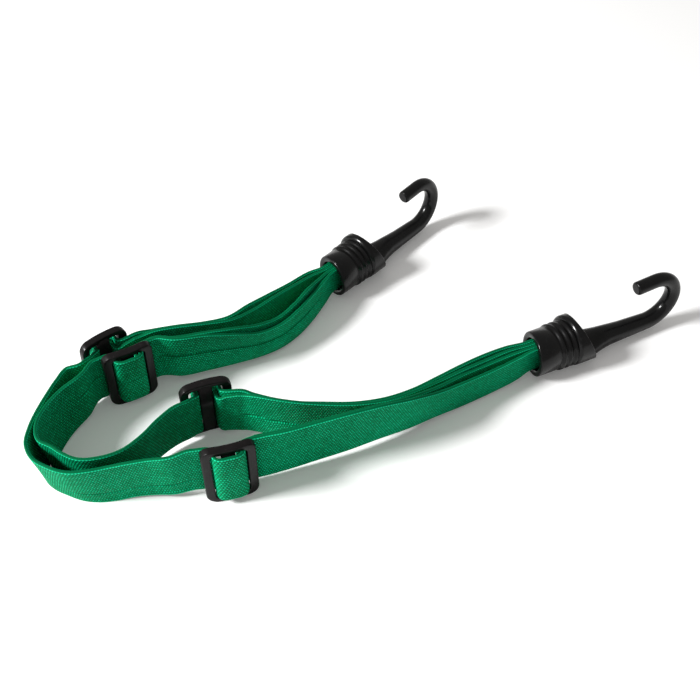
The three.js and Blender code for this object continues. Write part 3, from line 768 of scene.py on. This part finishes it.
def moulded_finish(name, colour, roughness, grain, coat):
    finish = Finish(name, Specular_IOR_Level=0.1, Coat_Roughness=0.1)
    place = finish.node("ShaderNodeTexCoord", {}, output="Object")
    fine = finish.node(
        "ShaderNodeTexNoise", {}, ("Vector", place), ("Scale", grain), ("Detail", 4.0), ("Roughness", 0.6)
    )
    broad = finish.node(
        "ShaderNodeTexNoise", {}, ("Vector", place), ("Scale", grain / 12), ("Detail", 2.0)
    )
    scuffs = finish.node(
        "ShaderNodeTexNoise", {},
        ("Vector", place), ("Scale", grain / 3), ("Detail", 6.0), ("Distortion", 1.5),
    )
    rubbed = scuffs.above(0.64, 0.08)
    darker = tuple(0.5 * value for value in colour) + (1,)
    lighter = tuple(3 * value for value in colour) + (1,)
    base = finish.mix(broad, darker, (*colour, 1))
    bump = finish.node(
        "ShaderNodeBump", {}, ("Strength", 0.3), ("Distance", 0.00006), ("Height", fine + broad * 2)
    )
    finish.shade(
        Base_Color=finish.mix(rubbed * 0.35, base, lighter),
        Roughness=roughness + (fine - 0.5) * 0.2 + rubbed * 0.1,
        Coat_Weight=coat + (broad - 0.5) * 0.1,
        Normal=bump,
    )
    return finish.material


slider_finish = moulded_finish("satin_black_moulding", (0.008, 0.0068, 0.007), 0.42, 2500.0, 0.12)


def rounded_rectangle(half_length, half_height, radius, share):
    """A point of a rounded rectangle: eight steps round each corner, four along each side"""
    corner, step = divmod(round(share * 48) % 48, 12)
    x_sign, z_sign = ((1, 1), (-1, 1), (-1, -1), (1, -1))[corner]
    angle = pi / 2 * (corner + min(step, 8) / 8)
    x = x_sign * (half_length - radius) + radius * cos(angle)
    z = z_sign * (half_height - radius) + radius * sin(angle)
    if step > 8:
        next_x, next_z = rounded_rectangle(half_length, half_height, radius, (corner + 1) / 4)
        x += (next_x - x) * (step - 8) / 4
        z += (next_z - z) * (step - 8) / 4
    return x, z


def rail_section():
    """Points round a rail's cross-section: from which side, how far in from it, and its level"""
    arc = [edge_rounding * (1 - cos(pi / 2 * i / 4)) for i in range(5)]
    points = [("outer", inward, arc[4 - i]) for i, inward in enumerate(arc)]
    points += [("window", arc[4 - i], level) for i, level in enumerate(arc)]
    points += [("window", inward, slider_thickness - arc[4 - i]) for i, inward in enumerate(arc)]
    points += [("outer", arc[4 - i], slider_thickness - level) for i, level in enumerate(arc)]
    return points


def moulded_slider(webbing):
    half_length = slider_length / 2
    half_height = slider_height / 2
    section = rail_section()
    shape = bmesh.new()
    bmesh.ops.create_grid(shape, x_segments=48, y_segments=len(section), size=0.5)
    for vertex in shape.verts:
        side, inward, level = section[round((vertex.co.y + 0.5) * len(section)) % len(section)]
        if side == "outer":
            outline = (half_length - inward, half_height - inward, corner_radius - inward)
        else:
            window = (half_length - end_rail, half_height - side_rail, slot_corner_radius)
            outline = tuple(length + inward for length in window)
        x, z = rounded_rectangle(*outline, vertex.co.x + 0.5)
        vertex.co = (x, level, z)
    bmesh.ops.remove_doubles(shape, verts=shape.verts, dist=1e-7)
    bar = bmesh.ops.create_cube(shape, size=1)["verts"]
    bmesh.ops.scale(shape, vec=(bar_width, bar_thickness, slider_height - side_rail), verts=bar)
    bmesh.ops.translate(shape, vec=(0, bar_thickness / 2, 0), verts=bar)
    along_bar = {
        edge for vertex in bar for edge in vertex.link_edges
        if abs(edge.verts[0].co.z - edge.verts[1].co.z) > bar_width
    }
    bmesh.ops.bevel(
        shape, geom=list(along_bar), offset=edge_rounding, offset_type="OFFSET", segments=3,
        profile=0.5, affect="EDGES", material=-1,
    )
    for vertex in shape.verts:
        vertex.co.y += slider_bow * (1 - (vertex.co.x / half_length) ** 2)
    bmesh.ops.recalc_face_normals(shape, faces=shape.faces)
    shape.transform(slider_matrix(slider_places[webbing]))
    for face in shape.faces:
        face.smooth = len(face.verts) == 4
    return finished(f"{webbing}_slider_frame", shape, slider_finish)


for webbing in slider_places:
    slider = moulded_slider(webbing)
    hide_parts(f"slider_{webbing}")
    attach(slider, f"{webbing}_slider")


# Hooks: semi-gloss black mouldings. A barrel takes the webbings, three ribs give it grip, and a
# hood runs over into the rod, which lies flat, then turns up and back over itself.
collar_radius = 0.0077
collar_length = 0.007
mouth_edge = 0.0006
mouth_slant = 0.0014
bore_radius = 0.0056
cavity_radius = 0.0066
rib_count = 3
rib_pitch = 0.00233
rib_core_radius = 0.0077
rib_height = 0.0005
groove_depth = 0.0002
bore_edge = 0.0004
hood_overlap = 0.0004
core_radius = 0.0002
hood_radius = 0.0089
hood_edge = 0.0008
hood_top_end = 0.0156
hood_slope = radians(66)
rib_zone_end = collar_length + rib_count * rib_pitch

hook_finish = moulded_finish("semi_gloss_black_moulding", (0.004, 0.004, 0.0042), 0.3, 1800.0, 0.25)


def turned_shape(profile, height, steps=72):
    """A closed outline of x and radius, turned about the barrel's axis"""
    shape = bmesh.new()
    points = [shape.verts.new((x, 0, r)) for x, r in profile]
    edges = [shape.edges.new(pair) for pair in zip(points, points[1:] + points[:1])]
    bmesh.ops.spin(
        shape, geom=points + edges, cent=(0, 0, 0), axis=(1, 0, 0), angle=2 * pi, steps=steps,
        use_merge=True,
    )
    bmesh.ops.remove_doubles(shape, verts=shape.verts, dist=1e-7)
    bmesh.ops.translate(shape, vec=(0, 0, height), verts=shape.verts)
    bmesh.ops.recalc_face_normals(shape, faces=shape.faces)
    return shape


def hook_matrix(end):
    place = hook_places[end]
    return Matrix.Translation(on_floor(place, 0, 0)) @ Matrix.Rotation(radians(place["turn"]), 4, "Z")


def barrel_shape():
    profile = [(0, collar_radius - mouth_edge)]
    for i in range(1, 5):
        angle = pi / 2 * i / 4
        profile.append((mouth_edge * (1 - cos(angle)), collar_radius - mouth_edge * (1 - sin(angle))))
    profile += [
        (collar_length - groove_depth, collar_radius),
        (collar_length, collar_radius - groove_depth),
    ]
    for i in range(rib_count):
        for step in range(1, 12):
            share = step / 12
            profile.append((
                collar_length + (i + share) * rib_pitch,
                rib_core_radius - groove_depth + (rib_height + groove_depth) * sin(pi * share) ** 1.4,
            ))
    profile += [
        (rib_zone_end + hood_overlap, rib_core_radius - groove_depth),
        (rib_zone_end + hood_overlap, cavity_radius),
        (bore_length + cavity_radius - bore_radius, cavity_radius),
        (bore_length, bore_radius),
        (bore_edge, bore_radius),
        (0, bore_radius + bore_edge),
    ]
    shape = turned_shape(profile, barrel_axis_height)
    for vertex in shape.verts:
        near_mouth = max(1 - vertex.co.x / collar_length, 0)
        vertex.co.x += mouth_slant * near_mouth * vertex.co.y / collar_radius
    return shape


def hood_shape():
    far_end = hood_top_end + 2 * hood_radius
    shape = turned_shape([
        (rib_zone_end - hood_edge, core_radius),
        (rib_zone_end - hood_edge, hood_radius - hood_edge),
        (rib_zone_end, hood_radius),
        (far_end, hood_radius),
        (far_end, core_radius),
    ], hood_radius)
    normal = Vector((sin(hood_slope), 0, cos(hood_slope)))
    cut = bmesh.ops.bisect_plane(
        shape, geom=shape.verts[:] + shape.edges[:] + shape.faces[:], dist=1e-7,
        plane_co=(hood_top_end, 0, 2 * hood_radius), plane_no=normal, clear_outer=True,
    )
    rim = [item for item in cut["geom_cut"] if isinstance(item, bmesh.types.BMEdge)]
    bmesh.ops.holes_fill(shape, edges=rim)
    return shape


for end in hook_places:
    shape = barrel_shape()
    shape.transform(hook_matrix(end))
    for face in shape.faces:
        face.smooth = True
    barrel = finished(f"{end}_hook_barrel", shape, hook_finish)
    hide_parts(f"hook_{end}")
    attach(barrel, f"{end}_hook")

# The rod, from its root inside the hood to its tip. Its root is wider than high, and narrows by
# these half widths, each at a share of the way to the neck.
rod_start = 0.017
root_half_height = 0.004
root_half_widths = {0: 0.007, 0.25: 0.0062, 0.5: 0.0053, 0.75: 0.0044}
neck_distance = 0.031
neck_radius = 0.0038
shank_distance = 0.037
shank_radius = 0.0034
bend_distance = 0.0478
bend_radius = 0.0094
bend_lift = 0.0012
bend_rod_radius = 0.003
tip_rod_radius = 0.0024
tip_turn = 5
tip_length = 0.0076
tip_chamfer = 0.0006
skin_voxel = 0.00028
smoothing_rounds = 4


def rod_rings():
    """Rings of the rod as x and height of the middle, half the height and half the width"""
    straight = [
        (
            rod_start + share * (neck_distance - rod_start),
            root_half_height + share * (neck_radius - root_half_height),
            half_width,
        )
        for share, half_width in root_half_widths.items()
    ] + [
        (neck_distance, neck_radius, neck_radius),
        (shank_distance, shank_radius, shank_radius),
    ]
    rings = []
    for x, half_height, half_width in straight:
        lift = bend_lift * (x - rod_start) / (bend_distance - rod_start)
        rings.append((x, half_height + lift, half_height, half_width))
    middle = bend_radius + bend_rod_radius + bend_lift
    steps = 40
    for i in range(steps + 1):
        angle = radians((180 + tip_turn) * i / steps - 90)
        radius = bend_rod_radius + (tip_rod_radius - bend_rod_radius) * i / steps
        x = bend_distance + bend_radius * cos(angle)
        rings.append((x, middle + bend_radius * sin(angle), radius, radius))
    x, z = rings[-1][:2]
    away = radians(180 + tip_turn)
    for length, radius in (
        (tip_length - tip_chamfer, tip_rod_radius),
        (tip_length - tip_chamfer * 0.3, tip_rod_radius - tip_chamfer * 0.35),
        (tip_length, tip_rod_radius - tip_chamfer),
    ):
        rings.append((x + length * cos(away), z + length * sin(away), radius, radius))
    return rings


def rod_shape():
    rings = rod_rings()
    around = 48
    shape = bmesh.new()
    bmesh.ops.create_grid(shape, x_segments=len(rings) - 1, y_segments=around, size=0.5)
    for vertex in shape.verts:
        step = round((vertex.co.x + 0.5) * (len(rings) - 1))
        angle = 2 * pi * (vertex.co.y + 0.5)
        x, z, half_height, half_width = rings[step]
        ahead = rings[min(step + 1, len(rings) - 1)]
        behind = rings[max(step - 1, 0)]
        heading = Vector((ahead[0] - behind[0], ahead[1] - behind[1])).normalized()
        up = cos(angle) * half_height
        vertex.co = (x - heading.y * up, sin(angle) * half_width, z + heading.x * up)
    bmesh.ops.remove_doubles(shape, verts=shape.verts, dist=1e-7)
    bmesh.ops.holes_fill(shape, edges=[edge for edge in shape.edges if edge.is_boundary])
    bmesh.ops.recalc_face_normals(shape, faces=shape.faces)
    return shape


def melted(piece, voxel, rounds):
    """The piece's overlapping shapes as one skin, smoothed where they meet"""
    remesh = piece.modifiers.new("one skin", "REMESH")
    remesh.mode = "VOXEL"
    remesh.voxel_size = voxel
    smoothing = piece.modifiers.new("soft edges", "SMOOTH")
    smoothing.factor = 0.5
    smoothing.iterations = rounds
    bpy.context.view_layer.update()
    seen = piece.evaluated_get(bpy.context.evaluated_depsgraph_get())
    mesh = bpy.data.meshes.new_from_object(seen)
    piece.modifiers.clear()
    piece.data = mesh
    for face in mesh.polygons:
        face.use_smooth = True
    return piece


for end in hook_places:
    shape = hood_shape()
    rod_mesh = bpy.data.meshes.new("rod")
    rod = rod_shape()
    rod.to_mesh(rod_mesh)
    rod.free()
    shape.from_mesh(rod_mesh)
    bpy.data.meshes.remove(rod_mesh)
    shape.transform(hook_matrix(end))
    hook = melted(finished(f"{end}_hook_rod", shape, hook_finish), skin_voxel, smoothing_rounds)
    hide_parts(f"hook_{end}")
    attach(hook, f"{end}_hook")


# Anchor pins: short lengths of drawn steel wire across the inside of each barrel.
def drawn_wire_finish():
    finish = Finish("drawn_steel_wire", Metallic=1.0)
    place = finish.node("ShaderNodeTexCoord", {}, output="Object")
    stretched = finish.node("ShaderNodeMapping", {}, ("Vector", place), ("Scale", (1.0, 1.0, 0.05)))
    lines = finish.node("ShaderNodeTexNoise", {}, ("Vector", stretched), ("Scale", 9000.0), ("Detail", 3.0))
    finish.shade(
        Base_Color=finish.mix(lines, (0.42, 0.42, 0.43, 1), (0.62, 0.62, 0.63, 1)),
        Roughness=0.25 + lines * 0.2,
    )
    return finish.material


wire_finish = drawn_wire_finish()
for name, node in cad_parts.items():
    if name.startswith("anchor_pin"):
        for slot in node.material_slots:
            slot.material = wire_finish


# Floor and light: a plain white sweep under one soft lamp, low on the left and a little in
# front, with even light from all round.
lamp_size = 0.32
lamp_power = 23.5
lamp_distance = 1.2
lamp_direction = Vector((-0.774, -0.237, 0.588))
surrounding_light = 0.38

floor_finish = Finish("white_sweep", Roughness=0.9, Specular_IOR_Level=0.1, Emission_Strength=1.0)
looked_at = floor_finish.node("ShaderNodeLightPath", {}, output="Is Camera Ray")
floor_finish.shade(
    Base_Color=(0.93, 0.93, 0.93, 1),
    Emission_Color=floor_finish.mix(looked_at, (0, 0, 0, 1), (0.1, 0.1, 0.1, 1)),
)
shape = bmesh.new()
bmesh.ops.create_grid(shape, x_segments=1, y_segments=1, size=3)
sweep = finished("floor", shape, floor_finish.material)

key_data = bpy.data.lights.new("key", "AREA")
key_data.shape = "DISK"
key_data.size = lamp_size
key_data.energy = lamp_power
key = bpy.data.objects.new("key", key_data)
key.location = picture_middle + lamp_distance * lamp_direction
key.rotation_euler = (picture_middle - key.location).to_track_quat("-Z", "Y").to_euler()
bpy.context.scene.collection.objects.link(key)

world = bpy.data.worlds.new("studio")
world.use_nodes = True
background = world.node_tree.nodes["Background"]
background.inputs["Color"].default_value = (1, 0.98, 0.95, 1)
background.inputs["Strength"].default_value = surrounding_light
bpy.context.scene.world = world
bpy.context.scene.view_settings.view_transform = "Standard"
